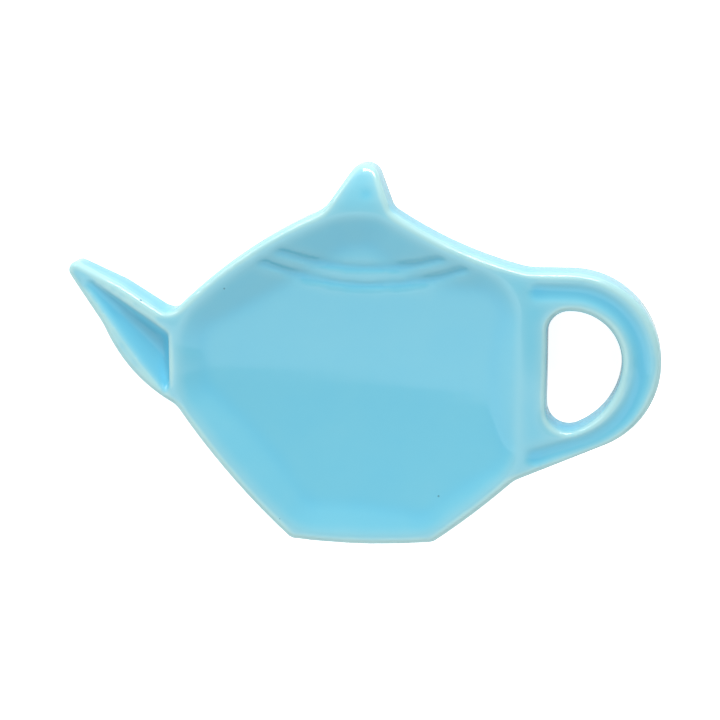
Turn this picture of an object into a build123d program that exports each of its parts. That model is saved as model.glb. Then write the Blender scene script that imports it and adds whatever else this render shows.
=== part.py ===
from build123d import *
import os
from math import acos, asin, atan2, cos, degrees, hypot, radians, sin, sqrt, tan

# Tea bag rest: a shallow glazed dish in the outline of a teapot, lying on its flat back.
# Frame: X from spout to handle, Y from foot to knob, Z out of the dish; the origin is the middle
# of the back. All sizes are millimetres. Plan points are given across from the pot's axis and up from
# its foot.

# Overall sizes
SPOUT_REACH = 60.6  # pot axis to the tip of the spout
HANDLE_REACH = 59.4  # pot axis to the outside of the handle
NECK_UP = 68.9  # foot to the neck under the knob
KNOB_RISE = 8.2  # neck to the tip of the knob
RIM_H = 9.5  # back to the crest of the rim
EDGE_R = 1.0  # rounding of the outer edges on the face
BACK_EDGE = 0.6  # chamfer round the flat back

# Body plan
FOOT_LEFT, FOOT_LEFT_RISE = 14.6, 0.7
FOOT_RIGHT, FOOT_RIGHT_RISE = 14.5, 0.8
FOOT_LOW = 1.5  # where the foot's shallow curve is lowest
FOOT_CORNER_R = 2.0
BODY_LEFT = 39.3  # pot axis to the far side of the ridge beside the spout
LEFT_LOW, LEFT_HIGH = 29.8, 45.9  # ends of the ridge
LEFT_FLANK_BULGE = 1.2
RIGHT_FLANK_BULGE = 0.5
LEFT_SHOULDER_BULGE = 2.1
BODY_RIGHT = 33.4  # pot axis to the web of the handle
RIGHT_LOW, RIGHT_HIGH = 16.7, 56.2  # ends of the web
RIGHT_SHOULDER_HOLLOW = 1.5
NECK_LEFT, NECK_RIGHT = 6.6, 4.6
NECK_TILT = 0.5  # how much lower the neck is on its left
NECK_ARCH = 0.5  # arch of the rim under the knob

# Knob, placed from the neck
KNOB_R = 2.9  # rounding of the tip, in plan
KNOB_SHIFT = 0.3  # the knob stands a little towards the handle
KNOB_LEFT_FLARE, KNOB_LEFT_DROP = 2.0, 1.9
KNOB_RIGHT_FLARE, KNOB_RIGHT_DROP = 1.7, 2.6
KNOB_LEFT_BLEND_R = 8.0
KNOB_RIGHT_BLEND_R = 3.0
KNOB_TIP_FALL = 2.5  # how far the face rolls back at the tip
KNOB_JOINT_RISE = 1.0
DIMPLE_RISE = 3.2
DIMPLE_SHIFT = 1.0
DIMPLE_R = 3.2
DIMPLE_DEPTH = 0.2

# Spout, its tip placed from the shoulder and its bends from the tip
TIP_R = 1.6
TIP_RISE = 8.9
TIP_FALL = 3.5  # how far the face falls away at the tip
SPOUT_HUMP_BACK, SPOUT_HUMP_DROP = 11.1, 2.5
SPOUT_HUMP_R = 9.0
SPOUT_BEND_BACK, SPOUT_BEND_DROP = 7.4, 10.6
SPOUT_BEND_R = 20.0
SPOUT_BELLY_BULGE = 2.2
SPOUT_ROOT_STEP = 0.05  # top edge over the ridge's upper end
SPOUT_ROOT_DEPTH = 2.2  # how far the top edge runs on into the body
SPOUT_ROOT_LOW_INSET, SPOUT_ROOT_LOW_DROP = 2.8, 2.6
SPOUT_TOP_BLEND_R = 3.5
SPOUT_UNDER_BLEND_R = 5.0
SPOUT_JOINT_GAP = 0.8  # joint to the far side of the ridge

# Spout hollow, between a place near the tip and one beside the ridge
HOLLOW_TIP_BACK, HOLLOW_TIP_DROP = 4.4, 2.5
HOLLOW_TIP_HALF_W, HOLLOW_TIP_DEPTH = 0.9, 0.45
HOLLOW_RIDGE_GAP, HOLLOW_RIDGE_DROP = 0.7, 8.6
HOLLOW_RIDGE_HALF_W, HOLLOW_RIDGE_DEPTH = 5.0, 3.0
HOLLOW_STATIONS = [0, 0.33, 0.66, 1, 1.8]  # from the tip, and on past the ridge
HOLLOW_EASE = 0.35  # how much faster it opens near the tip
HOLLOW_COVE_R = 1.0

# Handle
HANDLE_R = 17.9
HANDLE_TOP_STEP = 0.1  # top of the strap over the shoulder's end
HANDLE_ROOT_INSET = 7.4
HANDLE_LOW_INSET, HANDLE_LOW_DROP = 5.4, 3.8  # where the strap's lower edge starts
HANDLE_TOP_BLEND_R = 12.0
HANDLE_UNDER_BLEND_R = 6.0
HANDLE_JOINT_INSET = 0.9
WEB_W = 3.4  # body's edge to the hole
STRAP_W = 7.3
STRAP_LOW_W = 6.7  # under the hole, beside the web
HOLE_CORNER_R = 4.6
HOLE_LAND = 0.5  # least straight width left between the hole's corners
GROOVE_R = 3.6
GROOVE_DEPTH = 0.6
GROOVE_INSET = 1.6  # body's edge to both ends of the groove
GROOVE_LOW_RISE = 3.2  # strap's lower edge to the groove's lower end
GROOVE_SPREAD = 5.8  # degrees by which the groove is flatter than that edge

# Dish
RIM_W = 1.7
CREST_R = 3.0
DISH_CORNER_R = 12.0
DISH_DEPTH = 4.5
DISH_BOWL_R = 180.0  # radius of the hollow floor
DISH_LEAN = 68.0  # degrees by which the side of the dish leans outwards
DISH_COVE_R = 8.0  # rounding where the floor meets that side
DISH_RISE = 1.0  # how far the side is drawn on above the rim
DISH_ACROSS, DISH_UP = -3.0, 35.3  # deepest point of the dish

# Lid line, placed from the neck
LID_ACROSS, LID_RISE = 1.0, 33.9  # centre of the lid's curve
LID_R = 48.2
CHANNEL_W = 5.0
CHANNEL_DEPTH = 0.4
CHANNEL_END_DROP = 0.4  # crest of the rim to where both ends run out
BEAD_W = 2.0

MARGIN = 5.0  # how far cutting shapes run past the form
NEAR = 0.01  # how close an edge lies to a surface to count as on it

POT_HEIGHT = NECK_UP + KNOB_RISE
AXIS_X = (SPOUT_REACH - HANDLE_REACH) / 2
FOOT_Y = -POT_HEIGHT / 2


def at(across, up):
    """A plan point, across from the pot's axis and up from its foot."""
    return (AXIS_X + across, FOOT_Y + up)


def touch(point, centre, radius, side):
    """Where a straight edge from point meets a circle, on its left (1) or right (-1) seen from point."""
    away = atan2(point[1] - centre[1], point[0] - centre[0])
    swing = acos(radius / hypot(point[0] - centre[0], point[1] - centre[1]))
    angle = away - side * swing
    return (centre[0] + radius * cos(angle), centre[1] + radius * sin(angle))


def nearest(vertices, point):
    """The vertex that lies closest to a plan point."""
    return vertices.sort_by(lambda v: hypot(v.X - point[0], v.Y - point[1]))[0]


# Plan of the pot's body
with BuildSketch() as body_plan:
    with BuildLine():
        foot = ThreePointArc(at(-FOOT_LEFT, FOOT_LEFT_RISE), at(FOOT_LOW, 0), at(FOOT_RIGHT, FOOT_RIGHT_RISE))
        right_flank = SagittaArc(foot @ 1, at(BODY_RIGHT, RIGHT_LOW), -RIGHT_FLANK_BULGE)
        right_side = Line(right_flank @ 1, at(BODY_RIGHT, RIGHT_HIGH))
        right_shoulder = SagittaArc(right_side @ 1, at(NECK_RIGHT, NECK_UP), RIGHT_SHOULDER_HOLLOW)
        neck = SagittaArc(right_shoulder @ 1, at(-NECK_LEFT, NECK_UP - NECK_TILT), -NECK_ARCH)
        left_shoulder = SagittaArc(neck @ 1, at(-BODY_LEFT, LEFT_HIGH), -LEFT_SHOULDER_BULGE)
        left_side = Line(left_shoulder @ 1, at(-BODY_LEFT, LEFT_LOW))
        SagittaArc(left_side @ 1, foot @ 0, -LEFT_FLANK_BULGE)
    make_face()

# Plan of the whole rest: body, spout, handle and knob blended into one outline
tip_up = LEFT_HIGH + TIP_RISE
tip_centre = at(TIP_R - SPOUT_REACH, tip_up)
hump = at(SPOUT_HUMP_BACK - SPOUT_REACH, tip_up - SPOUT_HUMP_DROP)
bend = at(SPOUT_BEND_BACK - SPOUT_REACH, tip_up - SPOUT_BEND_DROP)
ridge_top = at(-BODY_LEFT, LEFT_HIGH + SPOUT_ROOT_STEP)
top_fall = atan2(ridge_top[1] - hump[1], ridge_top[0] - hump[0])
root_high = (ridge_top[0] + SPOUT_ROOT_DEPTH * cos(top_fall), ridge_top[1] + SPOUT_ROOT_DEPTH * sin(top_fall))
root_low = at(SPOUT_ROOT_LOW_INSET - BODY_LEFT, LEFT_LOW - SPOUT_ROOT_LOW_DROP)
under_corner = at(-BODY_LEFT, LEFT_LOW - SPOUT_ROOT_LOW_DROP)

handle_top_up = RIGHT_HIGH + HANDLE_TOP_STEP
handle_centre = at(HANDLE_REACH - HANDLE_R, handle_top_up - HANDLE_R)
handle_root = at(BODY_RIGHT - HANDLE_ROOT_INSET, handle_top_up)
handle_low = at(BODY_RIGHT - HANDLE_LOW_INSET, RIGHT_LOW - HANDLE_LOW_DROP)
strap_low = touch(handle_low, handle_centre, HANDLE_R, -1)
strap_slope = atan2(strap_low[1] - handle_low[1], strap_low[0] - handle_low[0])

knob_centre = at(KNOB_SHIFT, POT_HEIGHT - KNOB_R)
knob_left = at(-NECK_LEFT - KNOB_LEFT_FLARE, NECK_UP - NECK_TILT - KNOB_LEFT_DROP)
knob_right = at(NECK_RIGHT + KNOB_RIGHT_FLARE, NECK_UP - KNOB_RIGHT_DROP)

with BuildSketch() as outline:
    add(body_plan.sketch)
    with BuildLine():
        belly = SagittaArc(root_low, bend, SPOUT_BELLY_BULGE)
        spout_under = Line(belly @ 1, touch(bend, tip_centre, TIP_R, 1))
        nose = ThreePointArc(
            spout_under @ 1, at(-SPOUT_REACH, tip_up), touch(hump, tip_centre, TIP_R, -1)
        )
        Polyline(nose @ 1, hump, root_high, belly @ 0)
    make_face()
    with BuildLine():
        strap_top = Line(handle_root, (handle_centre[0], handle_root[1]))
        strap_bow = ThreePointArc(strap_top @ 1, (handle_centre[0] + HANDLE_R, handle_centre[1]), strap_low)
        Polyline(strap_bow @ 1, handle_low, handle_root)
    make_face()
    with BuildLine():
        knob_top = ThreePointArc(
            touch(knob_left, knob_centre, KNOB_R, 1),
            at(KNOB_SHIFT, POT_HEIGHT),
            touch(knob_right, knob_centre, KNOB_R, -1),
        )
        Polyline(knob_top @ 1, knob_right, knob_left, knob_top @ 0)
    make_face()
    blends = [
        (hump, SPOUT_HUMP_R),
        (bend, SPOUT_BEND_R),
        (ridge_top, SPOUT_TOP_BLEND_R),
        (under_corner, SPOUT_UNDER_BLEND_R),
        (at(-FOOT_LEFT, FOOT_LEFT_RISE), FOOT_CORNER_R),
        (at(FOOT_RIGHT, FOOT_RIGHT_RISE), FOOT_CORNER_R),
        (handle_low, HANDLE_UNDER_BLEND_R),
        (at(BODY_RIGHT, handle_top_up), HANDLE_TOP_BLEND_R),
        (knob_left, KNOB_LEFT_BLEND_R),
        (knob_right, KNOB_RIGHT_BLEND_R),
    ]
    for corner, radius in blends:
        fillet(nearest(outline.vertices(), corner), radius)


def strap_edge(x):
    """Height of the strap's straight lower edge at x."""
    return handle_low[1] + (x - handle_low[0]) * tan(strap_slope)


# Plan of the finger hole: concentric with the strap's bow, cut off by the web, its corners rounded
hole_inner = AXIS_X + BODY_RIGHT + WEB_W
hole_bow_r = HANDLE_R - STRAP_W
hole_top_y = handle_centre[1] + hole_bow_r
hole_low_y = strap_edge(hole_inner) + STRAP_LOW_W
hole_w = handle_centre[0] + hole_bow_r - hole_inner
hole_corner_r = min(HOLE_CORNER_R, (hole_w - HOLE_LAND) / 2)
with BuildSketch() as hole_plan:
    with BuildLine():
        hole_top = Line((handle_root[0], hole_top_y), (handle_centre[0], hole_top_y))
        hole_bow = JernArc(hole_top @ 1, (1, 0), hole_bow_r, -90)
        hole_under = TangentArc(hole_bow @ 1, (hole_inner, hole_low_y), tangent=(0, -1))
        Polyline(hole_under @ 1, (handle_root[0], hole_low_y), hole_top @ 0)
    make_face()
    with Locations((hole_inner, handle_centre[1])):
        Rectangle(HANDLE_REACH, POT_HEIGHT, align=(Align.MAX, Align.CENTER), mode=Mode.SUBTRACT)
    offset(amount=-hole_corner_r, kind=Kind.INTERSECTION)
    offset(amount=hole_corner_r)



def dish_outline(z):
    """Plan of the dish at a height: the body's plan drawn in by the rim and by the leaning side."""
    lean = (RIM_H - z) * tan(radians(DISH_LEAN))
    with BuildSketch() as plan:
        add(body_plan.sketch)
        offset(amount=-RIM_W - lean, kind=Kind.INTERSECTION)
        fillet(plan.vertices(), DISH_CORNER_R - lean)
    return plan.sketch


bowl_centre = (*at(DISH_ACROSS, DISH_UP), RIM_H - DISH_DEPTH + DISH_BOWL_R)
POLES_ACROSS = (90, 0, 0)  # keeps a sphere's poles out of the floor

with BuildPart() as dish:
    with BuildSketch(Plane.XY.offset(RIM_H - DISH_DEPTH)):
        add(dish_outline(RIM_H + DISH_RISE))
    extrude(amount=DISH_DEPTH + DISH_RISE + MARGIN)
    base = dish.faces().sort_by(Axis.Z)[0]
    side_h = DISH_DEPTH + DISH_RISE
    chamfer(base.edges(), side_h * tan(radians(DISH_LEAN)), side_h, reference=base)
    with Locations(bowl_centre):
        Sphere(DISH_BOWL_R, rotation=POLES_ACROSS, mode=Mode.INTERSECT)
    floor = dish.faces().sort_by(Axis.Z)[0]
    fillet(floor.edges(), DISH_COVE_R)

# How the face falls away at the tips of the spout and the knob
ridge_x = AXIS_X - BODY_LEFT
tip_run = SPOUT_REACH - BODY_LEFT
tip_fall_r = (tip_run**2 + TIP_FALL**2) / (2 * TIP_FALL)
tip_fall_turn = degrees(asin((tip_run + TIP_R) / tip_fall_r))
neck_y = FOOT_Y + NECK_UP
knob_fall_r = (KNOB_RISE**2 + KNOB_TIP_FALL**2) / (2 * KNOB_TIP_FALL)
knob_fall_turn = degrees(asin((KNOB_RISE + TIP_R) / knob_fall_r))
far_x = AXIS_X + HANDLE_REACH + MARGIN
far_y = FOOT_Y - MARGIN


def face_height(x):
    """Height of the face over the back, level over the pot and falling along the spout."""
    return RIM_H - tip_fall_r + sqrt(tip_fall_r**2 - min(x - ridge_x, 0) ** 2)


# The whole form before it is parted into its members
with BuildPart() as form:
    extrude(outline.sketch, amount=RIM_H + MARGIN)
    extrude(hole_plan.sketch, amount=RIM_H + MARGIN, mode=Mode.SUBTRACT)
    with BuildSketch(Plane.XZ):
        with BuildLine():
            spout_fall = JernArc((ridge_x, RIM_H), (-1, 0), tip_fall_r, tip_fall_turn)
            Polyline(
                spout_fall @ 1,
                (ridge_x - tip_run - MARGIN, -MARGIN),
                (far_x, -MARGIN),
                (far_x, RIM_H),
                spout_fall @ 0,
            )
        make_face()
    extrude(amount=POT_HEIGHT, both=True, mode=Mode.INTERSECT)
    with BuildSketch(Plane.YZ):
        with BuildLine():
            knob_roll = JernArc((neck_y, RIM_H), (1, 0), knob_fall_r, -knob_fall_turn)
            Polyline(
                knob_roll @ 1,
                (neck_y + KNOB_RISE + MARGIN, -MARGIN),
                (far_y, -MARGIN),
                (far_y, RIM_H),
                knob_roll @ 0,
            )
        make_face()
    extrude(amount=SPOUT_REACH + MARGIN, both=True, mode=Mode.INTERSECT)
    walls = form.faces().filter_by(lambda f: abs(f.normal_at().Z) < NEAR)
    chamfer(walls.edges().filter_by_position(Axis.Z, -NEAR, NEAR), BACK_EDGE)
    walls = form.faces().filter_by(lambda f: abs(f.normal_at().Z) < NEAR)
    rim = walls.edges().filter_by(Axis.Z, reverse=True).filter_by_position(Axis.Z, RIM_H / 2, RIM_H + NEAR)
    fillet(rim, EDGE_R)
    add(dish.part, mode=Mode.SUBTRACT)
    face = form.faces().filter_by(Plane.XY).sort_by(Axis.Z)[-1]
    crest = max(face.inner_wires(), key=lambda wire: wire.length)
    fillet(crest.edges(), CREST_R)

# The horn-shaped hollow of the spout, lofted through circles along its curved run
hollow_tip = at(HOLLOW_TIP_BACK - SPOUT_REACH, tip_up - HOLLOW_TIP_DROP)
hollow_ridge = at(-BODY_LEFT - HOLLOW_RIDGE_GAP, LEFT_HIGH - HOLLOW_RIDGE_DROP)
spine = []
for run in HOLLOW_STATIONS:
    open_up = run * (1 + HOLLOW_EASE - HOLLOW_EASE * run)
    x = hollow_tip[0] + run * (hollow_ridge[0] - hollow_tip[0])
    y = hollow_tip[1] + run * (hollow_ridge[1] - hollow_tip[1])
    half_width = HOLLOW_TIP_HALF_W + open_up * (HOLLOW_RIDGE_HALF_W - HOLLOW_TIP_HALF_W)
    depth = HOLLOW_TIP_DEPTH + open_up * (HOLLOW_RIDGE_DEPTH - HOLLOW_TIP_DEPTH)
    radius = (half_width**2 + depth**2) / (2 * depth)
    spine.append((Vector(x, y, face_height(x) - depth + radius), radius))

with BuildPart() as hollow:
    for i, (centre, radius) in enumerate(spine):
        before = spine[max(i - 1, 0)][0]
        after = spine[min(i + 1, len(spine) - 1)][0]
        heading = Vector(after.X - before.X, after.Y - before.Y, 0)
        with BuildSketch(Plane(centre, x_dir=(0, 0, 1), z_dir=heading)):
            Circle(radius)
    loft()
    with Locations(spine[0][0]):
        Sphere(spine[0][1], rotation=POLES_ACROSS)
    split(bisect_by=Plane((ridge_x, 0, 0), x_dir=(0, 1, 0), z_dir=(-1, 0, 0)), keep=Keep.TOP)
    fillet(hollow.faces().sort_by(Axis.X)[-1].edges(), HOLLOW_COVE_R)

# The long groove of the handle, midway along the bow and then straight to the body, with round ends
groove_r = HANDLE_R - STRAP_W / 2
groove_z = RIM_H - GROOVE_DEPTH + GROOVE_R
groove_x = AXIS_X + BODY_RIGHT + GROOVE_INSET
groove_top_y = handle_centre[1] + groove_r
groove_low_y = strap_edge(groove_x) + GROOVE_LOW_RISE
groove_slope = strap_slope - radians(GROOVE_SPREAD)
groove_drop = handle_centre[1] - groove_low_y
groove_run = handle_centre[0] + groove_r - groove_x
groove_under_r = (groove_drop * cos(groove_slope) - groove_run * sin(groove_slope)) / (1 - sin(groove_slope))
with BuildPart() as groove:
    with BuildLine():
        groove_top = Line((groove_x, groove_top_y, groove_z), (handle_centre[0], groove_top_y, groove_z))
        groove_side = JernArc(groove_top @ 1, (1, 0, 0), groove_r, -90)
        groove_under = JernArc(groove_side @ 1, (0, -1, 0), groove_under_r, degrees(groove_slope) - 90)
        groove_end = Line(groove_under @ 1, (groove_x, groove_low_y, groove_z))
    with BuildSketch(Plane(groove_top @ 0, z_dir=groove_top % 0)):
        Circle(GROOVE_R)
    sweep()
    with Locations(groove_top @ 0, groove_end @ 1):
        Sphere(GROOVE_R)

dimple_x, dimple_y = at(DIMPLE_SHIFT, NECK_UP + DIMPLE_RISE)
dimple_fall = knob_fall_r - sqrt(knob_fall_r**2 - DIMPLE_RISE**2)

with BuildPart() as shaped:
    add(form.part)
    add(hollow.part, mode=Mode.SUBTRACT)
    add(groove.part, mode=Mode.SUBTRACT)
    with Locations((dimple_x, dimple_y, RIM_H - dimple_fall - DIMPLE_DEPTH + DIMPLE_R)):
        Sphere(DIMPLE_R, mode=Mode.SUBTRACT)

# The channel of the lid line, and the bead laid in it
lid_centre = at(LID_ACROSS, NECK_UP + LID_RISE)
with BuildSketch() as channel_plan:
    add(dish_outline(RIM_H - CHANNEL_END_DROP))
    with Locations(lid_centre):
        Circle(LID_R + CHANNEL_W / 2, mode=Mode.INTERSECT)
        Circle(LID_R - CHANNEL_W / 2, mode=Mode.SUBTRACT)

with BuildSketch() as bead_plan:
    add(channel_plan.sketch)
    with Locations(lid_centre):
        Circle(LID_R + BEAD_W / 2, mode=Mode.INTERSECT)
        Circle(LID_R - BEAD_W / 2, mode=Mode.SUBTRACT)

with BuildPart() as channel:
    extrude(channel_plan.sketch, amount=RIM_H)
    with Locations((0, 0, -CHANNEL_DEPTH)):
        add(dish.part, mode=Mode.INTERSECT)

with BuildPart() as lid_bead:
    extrude(bead_plan.sketch, amount=RIM_H)
    with Locations((0, 0, -CHANNEL_DEPTH)):
        add(dish.part, mode=Mode.INTERSECT)
    add(shaped.part, mode=Mode.INTERSECT)

# Where the members are joined
knob_joint = Plane((0, neck_y + KNOB_JOINT_RISE, 0), x_dir=(1, 0, 0), z_dir=(0, 1, 0))
spout_joint = Plane((ridge_x - SPOUT_JOINT_GAP, 0, 0), x_dir=(0, 1, 0), z_dir=(-1, 0, 0))
handle_joint = Plane((AXIS_X + BODY_RIGHT - HANDLE_JOINT_INSET, 0, 0), x_dir=(0, 1, 0), z_dir=(1, 0, 0))

with BuildPart() as knob:
    add(shaped.part)
    split(bisect_by=knob_joint, keep=Keep.TOP)

with BuildPart() as spout:
    add(shaped.part)
    split(bisect_by=spout_joint, keep=Keep.TOP)

with BuildPart() as handle:
    add(shaped.part)
    split(bisect_by=handle_joint, keep=Keep.TOP)

with BuildPart() as lid:
    add(shaped.part)
    split(bisect_by=knob_joint, keep=Keep.BOTTOM)
    add(channel.part, mode=Mode.SUBTRACT)
    with Locations(lid_centre):
        Cylinder(LID_R, 2 * (RIM_H + MARGIN), mode=Mode.INTERSECT)

with BuildPart() as body:
    add(shaped.part)
    split(bisect_by=spout_joint, keep=Keep.BOTTOM)
    split(bisect_by=handle_joint, keep=Keep.BOTTOM)
    add(channel.part, mode=Mode.SUBTRACT)
    with Locations(lid_centre):
        Cylinder(LID_R, 2 * (RIM_H + MARGIN), mode=Mode.SUBTRACT)

os.makedirs("parts", exist_ok=True)
body.part.label = "body"
export_step(body.part, "parts/body.step")
lid.part.label = "lid"
export_step(lid.part, "parts/lid.step")
lid_bead.part.label = "lid_bead"
export_step(lid_bead.part, "parts/lid_bead.step")
knob.part.label = "knob"
export_step(knob.part, "parts/knob.step")
spout.part.label = "spout"
export_step(spout.part, "parts/spout.step")
handle.part.label = "handle"
export_step(handle.part, "parts/handle.step")
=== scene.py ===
from math import cos, pi, radians, sin

import bmesh
import bpy
import numpy as np
from bpy.props import FloatProperty, FloatVectorProperty, IntProperty, PointerProperty
from mathutils import Matrix, Quaternion, Vector
from mathutils.bvhtree import BVHTree


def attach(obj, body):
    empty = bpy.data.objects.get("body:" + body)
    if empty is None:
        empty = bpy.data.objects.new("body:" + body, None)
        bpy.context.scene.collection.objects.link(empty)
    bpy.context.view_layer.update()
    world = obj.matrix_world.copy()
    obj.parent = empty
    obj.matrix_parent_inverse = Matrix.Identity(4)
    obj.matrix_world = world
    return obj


bl_info = {
    "name": "Tea bag rest",
    "version": (1, 0, 0),
    "blender": (4, 5, 0),
    "location": "View3D > Sidebar > Tea bag rest",
    "description": "Dresses the clay members of a teapot-shaped tea bag rest in a blue gloss glaze",
    "category": "Object",
}

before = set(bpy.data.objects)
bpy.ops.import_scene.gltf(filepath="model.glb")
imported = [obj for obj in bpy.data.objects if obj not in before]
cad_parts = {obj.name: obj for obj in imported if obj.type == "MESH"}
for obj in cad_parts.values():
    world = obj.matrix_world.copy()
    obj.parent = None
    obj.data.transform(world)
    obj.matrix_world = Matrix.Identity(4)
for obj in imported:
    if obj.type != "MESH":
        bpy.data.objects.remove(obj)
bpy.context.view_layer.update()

MM = 0.001
# Fired clay and glaze bend light about alike.
CERAMIC_IOR = 1.5
# The clay's grit is too fine to show, so it is drawn this many times its size.
COARSER = 2
# Points of the clay members that lie closer than this, in metres, are one point.
WELD = 1e-7
# Places of thin and of even glaze on a scale from 0, over sharp edges, to 1, in deep hollows.
THIN = 0.2
EVEN = 0.6


def srgb(code):
    """Linear colour of a hex code such as 7AC8E6, with alpha."""
    parts = [int(code[i : i + 2], 16) / 255 for i in (0, 2, 4)]
    linear = [c / 12.92 if c <= 0.04045 else ((c + 0.055) / 1.055) ** 2.4 for c in parts]
    return (*linear, 1.0)


def add_node(tree, kind, settings=None, links=None):
    """A shader node with its settings, and its inputs linked from other nodes' outputs."""
    node = tree.nodes.new(kind)
    for name, value in (settings or {}).items():
        if isinstance(name, int) or name in node.inputs:
            node.inputs[name].default_value = value
        else:
            setattr(node, name, value)
    for name, output in (links or {}).items():
        tree.links.new(output, node.inputs[name])
    return node


def new_material(name):
    """A material with an empty node tree."""
    material = bpy.data.materials.new(name)
    material.use_nodes = True
    material.node_tree.nodes.clear()
    return material


def earthenware(settings):
    """White earthenware, biscuit-fired and bare where the glaze was wiped off."""
    # Chalky and without shine, with a fine sandy tooth.
    material = new_material("biscuit earthenware")
    tree = material.node_tree
    place = add_node(tree, "ShaderNodeNewGeometry")
    grain = add_node(
        tree,
        "ShaderNodeTexNoise",
        {"Scale": 1 / (settings.grain * COARSER), "Detail": 4.0},
        {"Vector": place.outputs["Position"]},
    )
    tooth = add_node(
        tree,
        "ShaderNodeBump",
        {"Strength": settings.tooth, "Distance": settings.grain_height},
        {"Height": grain.outputs["Fac"]},
    )
    clay = add_node(
        tree,
        "ShaderNodeBsdfPrincipled",
        {"Base Color": settings.colour, "Roughness": settings.roughness, "IOR": CERAMIC_IOR},
        {"Normal": tooth.outputs["Normal"]},
    )
    add_node(tree, "ShaderNodeOutputMaterial", links={"Surface": clay.outputs["BSDF"]})
    return material


def gloss_glaze(settings):
    """Gloss earthenware glaze, dipped and fired."""
    # A wet shine over slow waves. The colour is pale where the glaze runs thin over edges and deeper blue
    # where it pools, with a faint mottle and a few specks of iron from the clay.
    material = new_material("sky blue gloss glaze")
    tree = material.node_tree
    place = add_node(tree, "ShaderNodeNewGeometry")
    pool = add_node(tree, "ShaderNodeAttribute", {"attribute_name": "pool"})
    clouds = add_node(
        tree,
        "ShaderNodeTexNoise",
        {"Scale": 1 / settings.mottle_size, "Detail": 2.0},
        {"Vector": place.outputs["Position"]},
    )
    mottle = add_node(
        tree,
        "ShaderNodeMapRange",
        {"To Min": -settings.mottle, "To Max": settings.mottle},
        {"Value": clouds.outputs["Fac"]},
    )
    amount = add_node(
        tree,
        "ShaderNodeMath",
        {"operation": "ADD"},
        {0: pool.outputs["Fac"], 1: mottle.outputs["Result"]},
    )
    depth = add_node(tree, "ShaderNodeValToRGB", links={"Fac": amount.outputs[0]})
    stops = depth.color_ramp.elements
    stops[0].color = settings.edge_colour
    stops[1].color = settings.pooled_colour
    stops.new(THIN).color = settings.thin_colour
    stops.new(EVEN).color = settings.colour
    grit = add_node(
        tree,
        "ShaderNodeTexVoronoi",
        {"Scale": 1 / settings.speck_spacing},
        {"Vector": place.outputs["Position"]},
    )
    speck = add_node(
        tree,
        "ShaderNodeMath",
        {"operation": "LESS_THAN", 1: settings.speck_radius / settings.speck_spacing},
        {0: grit.outputs["Distance"]},
    )
    specked = add_node(
        tree,
        "ShaderNodeMixRGB",
        {"Color2": settings.speck_colour},
        {"Fac": speck.outputs[0], "Color1": depth.outputs["Color"]},
    )
    ripple = add_node(
        tree,
        "ShaderNodeTexNoise",
        {"Scale": 1 / settings.ripple, "Detail": 1.0},
        {"Vector": place.outputs["Position"]},
    )
    skin = add_node(
        tree,
        "ShaderNodeBump",
        {"Strength": settings.ripple_strength, "Distance": settings.ripple_depth},
        {"Height": ripple.outputs["Fac"]},
    )
    glaze = add_node(
        tree,
        "ShaderNodeBsdfPrincipled",
        {"Roughness": settings.roughness, "IOR": CERAMIC_IOR},
        {"Base Color": specked.outputs["Color"], "Normal": skin.outputs["Normal"]},
    )
    add_node(tree, "ShaderNodeOutputMaterial", links={"Surface": glaze.outputs["BSDF"]})
    return material


def white_card(settings):
    """Matt white card under the rest."""
    # It keeps the shadow, and the camera sees it as white paper. The glaze mirrors only a share of that
    # white, so that the side walls keep their colour.
    material = new_material("matt white card")
    tree = material.node_tree
    path = add_node(tree, "ShaderNodeLightPath")
    card = add_node(tree, "ShaderNodeBsdfDiffuse", {"Color": settings.floor_colour})
    mirrored = add_node(
        tree,
        "ShaderNodeMath",
        {"operation": "MULTIPLY_ADD", 1: settings.floor_mirrored},
        {0: path.outputs["Is Glossy Ray"], 2: path.outputs["Is Camera Ray"]},
    )
    seen = add_node(
        tree,
        "ShaderNodeMath",
        {"operation": "MULTIPLY", 1: settings.floor_glow},
        {0: mirrored.outputs[0]},
    )
    glow = add_node(tree, "ShaderNodeEmission", links={"Strength": seen.outputs[0]})
    both = add_node(
        tree,
        "ShaderNodeAddShader",
        links={0: card.outputs["BSDF"], 1: glow.outputs["Emission"]},
    )
    add_node(tree, "ShaderNodeOutputMaterial", links={"Surface": both.outputs["Shader"]})
    return material


def clay_form():
    """Every clay member of the rest in one mesh."""
    form = bmesh.new()
    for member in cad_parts.values():
        form.from_mesh(member.data)
    bmesh.ops.remove_doubles(form, verts=form.verts, dist=WELD)
    return form


def remeshed(form, voxel):
    """One even skin of quads round the form, which is used up."""
    mesh = bpy.data.meshes.new("form")
    form.to_mesh(mesh)
    form.free()
    holder = bpy.data.objects.new("form", mesh)
    bpy.context.scene.collection.objects.link(holder)
    skin = holder.modifiers.new("skin", "REMESH")
    skin.mode = "VOXEL"
    skin.voxel_size = voxel
    graph = bpy.context.evaluated_depsgraph_get()
    result = bpy.data.meshes.new_from_object(holder.evaluated_get(graph))
    bpy.data.objects.remove(holder)
    bpy.data.meshes.remove(mesh)
    return result


def mesh_points(mesh):
    """The mesh's points as an array."""
    flat = np.empty(len(mesh.vertices) * 3)
    mesh.vertices.foreach_get("co", flat)
    return flat.reshape(-1, 3)


def set_points(mesh, points):
    """Moves the mesh's points and returns their normals."""
    mesh.vertices.foreach_set("co", points.ravel())
    mesh.update()
    flat = np.empty(len(points) * 3)
    mesh.vertex_normals.foreach_get("vector", flat)
    return flat.reshape(-1, 3)


def mesh_edges(mesh):
    """The mesh's edges as an array of pairs."""
    flat = np.empty(len(mesh.edges) * 2, dtype=np.int64)
    mesh.edges.foreach_get("vertices", flat)
    return flat.reshape(-1, 2)


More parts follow.
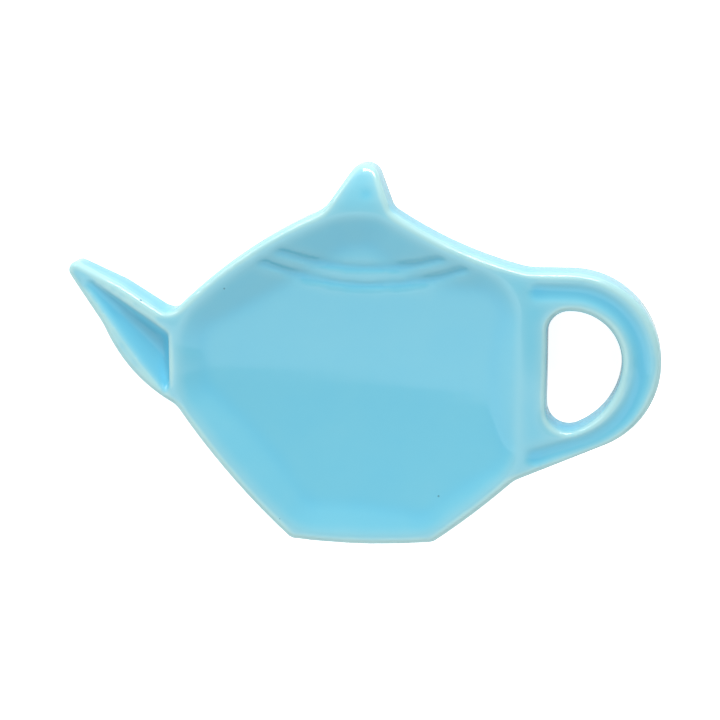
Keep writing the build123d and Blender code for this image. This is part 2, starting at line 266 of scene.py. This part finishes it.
def relaxed(rows, edges, passes):
    """One row of values per point, moved half way to the mean of its neighbours several times over."""
    start, end = edges[:, 0], edges[:, 1]
    total = len(rows)
    neighbours = np.bincount(edges.ravel(), minlength=total)[:, None]
    for _ in range(passes):
        mean = np.empty_like(rows)
        for axis in range(rows.shape[1]):
            column = rows[:, axis]
            mean[:, axis] = np.bincount(start, column[end], total) + np.bincount(end, column[start], total)
        rows = (rows + mean / neighbours) / 2
    return rows


def sunk(points, normals, edges, passes):
    """How far each point lies below the mean of its surroundings, as one column."""
    return ((relaxed(points, edges, passes) - points) * normals).sum(axis=1)[:, None]


def lifted(points, clay, cover):
    """The points, each moved out to lie at least cover away from the clay."""
    moved = points.copy()
    for i, point in enumerate(points):
        foot, normal, _, distance = clay.find_nearest(Vector(point))
        away = Vector(point) - foot
        if away.dot(normal) <= 0:
            moved[i] = foot + normal * cover
        elif distance < cover:
            moved[i] = foot + away * (cover / distance)
    return moved


def new_piece(name, mesh, material):
    """An object with its material and smooth shading."""
    piece = bpy.data.objects.new(name, mesh)
    bpy.context.scene.collection.objects.link(piece)
    mesh.materials.append(material)
    mesh.shade_smooth()
    return piece


def softbox(name, place, aim, size, brightness, turn=0.0):
    """Adds a rectangular lamp of even brightness, aimed at a point and turned about its own axis."""
    width, height = size
    lamp = bpy.data.lights.new(name, "AREA")
    lamp.shape = "RECTANGLE"
    lamp.size = width
    lamp.size_y = height
    lamp.energy = brightness * pi * width * height
    box = bpy.data.objects.new(name, lamp)
    box.location = place
    facing = (aim - place).to_track_quat("-Z", "Y")
    box.rotation_euler = (facing @ Quaternion((0, 0, 1), turn)).to_euler()
    bpy.context.scene.collection.objects.link(box)


class ClaySettings(bpy.types.PropertyGroup):
    """The fired clay."""

    colour: FloatVectorProperty(
        name="Clay", description="Biscuit-fired clay", subtype="COLOR", size=4, default=srgb("EFE9DE")
    )
    roughness: FloatProperty(
        name="Roughness", description="Dullness of the bare clay", subtype="FACTOR", default=0.85
    )
    grain: FloatProperty(
        name="Grain", description="Size of the clay's grit", unit="LENGTH", default=0.25 * MM
    )
    grain_height: FloatProperty(
        name="Grain height", description="How far the grit stands out", unit="LENGTH", default=0.0625 * MM
    )
    tooth: FloatProperty(
        name="Tooth", description="How strongly the grit shows", subtype="FACTOR", default=0.4
    )


class GlazeSettings(bpy.types.PropertyGroup):
    """The glaze coat."""

    voxel: FloatProperty(
        name="Mesh size", description="Side of the coat's quads", unit="LENGTH", default=0.35 * MM
    )
    softness: IntProperty(
        name="Softness", description="How often the coat is evened out over the clay's edges", default=14
    )
    settling: IntProperty(
        name="Settling", description="Rounds of evening the coat out and lifting it off the clay", default=3
    )
    settling_passes: IntProperty(
        name="Settling passes", description="How often each round evens the coat out", default=2
    )
    thickness: FloatProperty(
        name="Thickness", description="Glaze over flat clay", unit="LENGTH", default=0.25 * MM
    )
    least: FloatProperty(
        name="Least cover", description="Glaze over the sharpest edges", unit="LENGTH", default=0.18 * MM
    )
    dry_edge: FloatProperty(
        name="Dry edge", description="Height of the wiped edge at the back", unit="LENGTH", default=0.8 * MM
    )
    pool_depth: FloatProperty(
        name="Pool depth", description="Hollow with the deepest glaze", unit="LENGTH", default=0.13 * MM
    )
    pool_passes: IntProperty(
        name="Pool width", description="How widely hollows and crests are looked for", default=30
    )
    pool_blend: IntProperty(
        name="Pool blend", description="How softly pooled and thin glaze run into each other", default=28
    )
    pool_fill: IntProperty(
        name="Pool fill", description="How far the glaze levels itself in hollows", default=80
    )
    fringe: FloatProperty(
        name="Fringe", description="How far broad crests thin the glaze", subtype="FACTOR", default=0.5
    )
    crease_depth: FloatProperty(
        name="Crease depth", description="Groove with the deepest glaze", unit="LENGTH", default=0.1 * MM
    )
    crease_passes: IntProperty(
        name="Crease width", description="How widely grooves and edges are looked for", default=14
    )
    crease_blend: IntProperty(
        name="Crease blend", description="How softly the glaze thickens into grooves", default=3
    )
    colour: FloatVectorProperty(
        name="Glaze", description="Glaze on open surfaces", subtype="COLOR", size=4, default=srgb("75C5DC")
    )
    thin_colour: FloatVectorProperty(
        name="Thin glaze", description="Glaze over crests", subtype="COLOR", size=4, default=srgb("8FCDDC")
    )
    edge_colour: FloatVectorProperty(
        name="Edges", description="Glaze over sharp edges", subtype="COLOR", size=4, default=srgb("ACD9DC")
    )
    pooled_colour: FloatVectorProperty(
        name="Pooled glaze", description="Glaze in hollows", subtype="COLOR", size=4, default=srgb("66BFDE")
    )
    mottle: FloatProperty(
        name="Mottle", description="How far the depth of the glaze wanders", subtype="FACTOR", default=0.1
    )
    mottle_size: FloatProperty(
        name="Mottle size", description="Spacing of the mottle's clouds", unit="LENGTH", default=9 * MM
    )
    speck_colour: FloatVectorProperty(
        name="Specks", description="Iron specks", subtype="COLOR", size=4, default=srgb("5E9BB0")
    )
    speck_radius: FloatProperty(
        name="Speck radius", description="Size of the largest specks", unit="LENGTH", default=0.22 * MM
    )
    speck_spacing: FloatProperty(
        name="Speck spacing", description="Mean space between specks", unit="LENGTH", default=8 * MM
    )
    roughness: FloatProperty(
        name="Roughness", description="Dullness of the fired glaze", subtype="FACTOR", default=0.07
    )
    ripple: FloatProperty(
        name="Ripple", description="Spacing of the slow waves in the glaze", unit="LENGTH", default=6 * MM
    )
    ripple_depth: FloatProperty(
        name="Ripple depth", description="Height of those waves", unit="LENGTH", default=0.02 * MM
    )
    ripple_strength: FloatProperty(
        name="Ripple strength", description="How strongly those waves show", subtype="FACTOR", default=0.3
    )


class StageSettings(bpy.types.PropertyGroup):
    """Floor, lamps and camera."""

    floor_size: FloatProperty(
        name="Floor", description="Side of the floor", unit="LENGTH", default=2.0
    )
    floor_gap: FloatProperty(
        name="Floor gap", description="Space under the back", unit="LENGTH", default=0.05 * MM
    )
    floor_colour: FloatVectorProperty(
        name="Floor colour", description="White card", subtype="COLOR", size=4, default=srgb("F6F6F4")
    )
    floor_glow: FloatProperty(
        name="Floor glow", description="White added where the camera sees the floor", default=0.72
    )
    floor_mirrored: FloatProperty(
        name="Floor mirrored", description="Share of it in reflections", subtype="FACTOR", default=0.15
    )
    surround: FloatProperty(
        name="Surround", description="Brightness of the room", default=0.175
    )
    key: FloatProperty(
        name="Key", description="Brightness of the lamp on the knob's side", default=1.5
    )
    key_size: FloatVectorProperty(
        name="Key size", description="Its width and height", size=2, unit="LENGTH", default=(0.9, 0.5)
    )
    key_place: FloatVectorProperty(
        name="Key place", description="Its middle", subtype="TRANSLATION", default=(-0.06, 0.66, 0.27)
    )
    strip: FloatProperty(
        name="Strip", description="Brightness of the strip in front of the key", default=30.0
    )
    strip_size: FloatVectorProperty(
        name="Strip size", description="Its width and height", size=2, unit="LENGTH", default=(0.36, 0.09)
    )
    strip_place: FloatVectorProperty(
        name="Strip place", description="Its middle", subtype="TRANSLATION", default=(0.08, 0.6, 0.35)
    )
    glint: FloatProperty(
        name="Glint", description="Brightness of the strip behind the spout", default=16.0
    )
    glint_size: FloatVectorProperty(
        name="Glint size", description="Its width and height", size=2, unit="LENGTH", default=(0.3, 0.07)
    )
    glint_place: FloatVectorProperty(
        name="Glint place", description="Its middle", subtype="TRANSLATION", default=(-0.43, 0.43, 0.35)
    )
    card: FloatProperty(
        name="Card", description="Brightness of the card over the foot's side", default=1.1
    )
    card_size: FloatVectorProperty(
        name="Card size", description="Its width and depth", size=2, unit="LENGTH", default=(1.4, 0.9)
    )
    card_place: FloatVectorProperty(
        name="Card place", description="Its middle", subtype="TRANSLATION", default=(-0.075, -0.566, 0.6)
    )
    card_turn: FloatProperty(
        name="Card turn", description="Its turn about the vertical", subtype="ANGLE", default=radians(-3.5)
    )
    apron: FloatProperty(
        name="Apron", description="Brightness of the low card on that side", default=1.1
    )
    apron_size: FloatVectorProperty(
        name="Apron size", description="Its width and height", size=2, unit="LENGTH", default=(1.2, 0.35)
    )
    apron_place: FloatVectorProperty(
        name="Apron place", description="Its middle", subtype="TRANSLATION", default=(0.0, -0.9, 0.22)
    )
    wing: FloatProperty(
        name="Wing", description="Brightness of the low cards at the two ends", default=1.4
    )
    wing_size: FloatVectorProperty(
        name="Wing size", description="Their width and height", size=2, unit="LENGTH", default=(0.7, 0.3)
    )
    wing_place: FloatVectorProperty(
        name="Wing place",
        description="Middle of the one on the spout's side",
        subtype="TRANSLATION",
        default=(-0.8, -0.35, 0.17),
    )
    target: FloatVectorProperty(
        name="Target",
        description="Point in the middle of the picture",
        subtype="TRANSLATION",
        default=(-0.25 * MM, -1.25 * MM, 5 * MM),
    )
    swing: FloatProperty(
        name="Swing", description="Camera's turn towards the handle", subtype="ANGLE", default=radians(7)
    )
    lean: FloatProperty(
        name="Lean", description="Camera's turn towards the knob", subtype="ANGLE", default=radians(11)
    )
    distance: FloatProperty(
        name="Distance", description="Camera to target", unit="LENGTH", default=420 * MM
    )
    nearest: FloatProperty(
        name="Nearest", description="Where the camera's view starts", unit="LENGTH", default=10 * MM
    )
    picture: FloatProperty(
        name="Picture", description="Width of the picture at the target", unit="LENGTH", default=146.05 * MM
    )


class RestSettings(bpy.types.PropertyGroup):
    """Everything that can be set."""

    clay: PointerProperty(type=ClaySettings)
    glaze: PointerProperty(type=GlazeSettings)
    stage: PointerProperty(type=StageSettings)


class REST_OT_clay(bpy.types.Operator):
    """Give the clay members their biscuit finish"""

    bl_idname = "rest.clay"
    bl_label = "Clay members"

    def execute(self, context):
        clay = earthenware(context.scene.tea_bag_rest.clay)
        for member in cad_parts.values():
            member.data.materials.clear()
            member.data.materials.append(clay)
        return {"FINISHED"}


class REST_OT_glaze(bpy.types.Operator):
    """Coat the clay members in one skin of glaze that stops short of the back"""

    bl_idname = "rest.glaze"
    bl_label = "Glaze"

    def execute(self, context):
        settings = context.scene.tea_bag_rest.glaze
        mesh = remeshed(clay_form(), settings.voxel)
        edges = mesh_edges(mesh)
        points = mesh_points(mesh)
        clay = BVHTree.FromPolygons(points.tolist(), [list(face.vertices) for face in mesh.polygons])
        points = relaxed(points, edges, settings.softness)
        points = points + set_points(mesh, points) * settings.thickness
        for _ in range(settings.settling):
            points = lifted(relaxed(points, edges, settings.settling_passes), clay, settings.least)
        normals = set_points(mesh, points)

        # The glaze is thick where the coat is sunk and thin where it stands out, broadly and then finely.
        hollows = sunk(points, normals, edges, settings.pool_passes) / settings.pool_depth
        hollows = relaxed(np.clip(hollows, -settings.fringe, 1), edges, settings.pool_blend)
        creases = sunk(points, normals, edges, settings.crease_passes) / settings.crease_depth
        creases = relaxed(np.clip(creases, -1, 1), edges, settings.crease_blend)
        depth = np.clip(EVEN + (EVEN - THIN) * (hollows + creases), 0, 1)
        pool = mesh.attributes.new("pool", "FLOAT", "POINT")
        pool.data.foreach_set("value", depth.ravel())

        # Where it pools, it levels itself.
        pooled = np.clip(hollows, 0, 1)
        set_points(mesh, points + pooled * (relaxed(points, edges, settings.pool_fill) - points))

        # The back and a narrow edge round it are wiped dry.
        coat = bmesh.new()
        coat.from_mesh(mesh)
        bmesh.ops.bisect_plane(
            coat,
            geom=coat.verts[:] + coat.edges[:] + coat.faces[:],
            plane_co=(0, 0, settings.dry_edge),
            plane_no=(0, 0, 1),
            clear_inner=True,
        )
        coat.to_mesh(mesh)
        coat.free()

        piece = new_piece("glaze", mesh, gloss_glaze(settings))
        wall = piece.modifiers.new("wall", "SOLIDIFY")
        wall.thickness = settings.thickness
        wall.offset = -1
        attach(piece, "root")
        return {"FINISHED"}


class REST_OT_stage(bpy.types.Operator):
    """Set the floor, the lamps and the camera"""

    bl_idname = "rest.stage"
    bl_label = "Stage"

    def execute(self, context):
        scene = context.scene
        settings = scene.tea_bag_rest.stage

        half = settings.floor_size / 2
        ground = -settings.floor_gap
        corners = [
            (-half, -half, ground),
            (half, -half, ground),
            (half, half, ground),
            (-half, half, ground),
        ]
        sheet = bpy.data.meshes.new("floor")
        sheet.from_pydata(corners, [], [(0, 1, 2, 3)])
        new_piece("floor", sheet, white_card(settings))

        middle = Vector((0, 0, 0))
        softbox("key", settings.key_place, middle, settings.key_size, settings.key)
        softbox("strip", settings.strip_place, middle, settings.strip_size, settings.strip)
        softbox("glint", settings.glint_place, middle, settings.glint_size, settings.glint)
        softbox("apron", settings.apron_place, middle, settings.apron_size, settings.apron)
        for name, side in (("spout wing", 1), ("handle wing", -1)):
            place = settings.wing_place * Vector((side, 1, 1))
            softbox(name, place, middle, settings.wing_size, settings.wing)
        place = settings.card_place
        below = place * Vector((1, 1, 0))
        softbox("card", place, below, settings.card_size, settings.card, settings.card_turn)

        world = bpy.data.worlds.new("room")
        world.use_nodes = True
        room = world.node_tree.nodes["Background"].inputs
        room["Color"].default_value = srgb("FFFFFF")
        room["Strength"].default_value = settings.surround
        scene.world = world

        level = Vector((sin(settings.swing), 0, cos(settings.swing)))
        towards = level * cos(settings.lean) + Vector((0, sin(settings.lean), 0))
        right = Vector((cos(settings.swing), 0, -sin(settings.swing)))
        up = towards.cross(right)
        lens = bpy.data.cameras.new("camera")
        lens.lens = lens.sensor_width * settings.distance / settings.picture
        lens.clip_start = settings.nearest
        camera = bpy.data.objects.new("camera", lens)
        turn = Matrix((right, up, towards)).transposed().to_4x4()
        camera.matrix_world = Matrix.Translation(settings.target + towards * settings.distance) @ turn
        scene.collection.objects.link(camera)
        scene.camera = camera
        scene.view_settings.view_transform = "Standard"
        return {"FINISHED"}


class REST_PT_sidebar(bpy.types.Panel):
    """Lists the steps and their settings"""

    bl_idname = "REST_PT_sidebar"
    bl_label = "Tea bag rest"
    bl_space_type = "VIEW_3D"
    bl_region_type = "UI"
    bl_category = "Tea bag rest"

    def draw(self, context):
        settings = context.scene.tea_bag_rest
        steps = (
            (REST_OT_clay, settings.clay),
            (REST_OT_glaze, settings.glaze),
            (REST_OT_stage, settings.stage),
        )
        for step, group in steps:
            box = self.layout.box()
            box.operator(step.bl_idname)
            for name in group.__annotations__:
                box.prop(group, name)


CLASSES = (
    ClaySettings,
    GlazeSettings,
    StageSettings,
    RestSettings,
    REST_OT_clay,
    REST_OT_glaze,
    REST_OT_stage,
    REST_PT_sidebar,
)


def register():
    """Adds the classes and the scene's settings."""
    for kind in CLASSES:
        bpy.utils.register_class(kind)
    bpy.types.Scene.tea_bag_rest = PointerProperty(type=RestSettings)


def unregister():
    """Takes the settings and the classes away again."""
    del bpy.types.Scene.tea_bag_rest
    for kind in reversed(CLASSES):
        bpy.utils.unregister_class(kind)


def main():
    """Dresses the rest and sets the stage."""
    register()
    bpy.ops.rest.clay()
    bpy.ops.rest.glaze()
    bpy.ops.rest.stage()


if __name__ == "__main__":
    main()
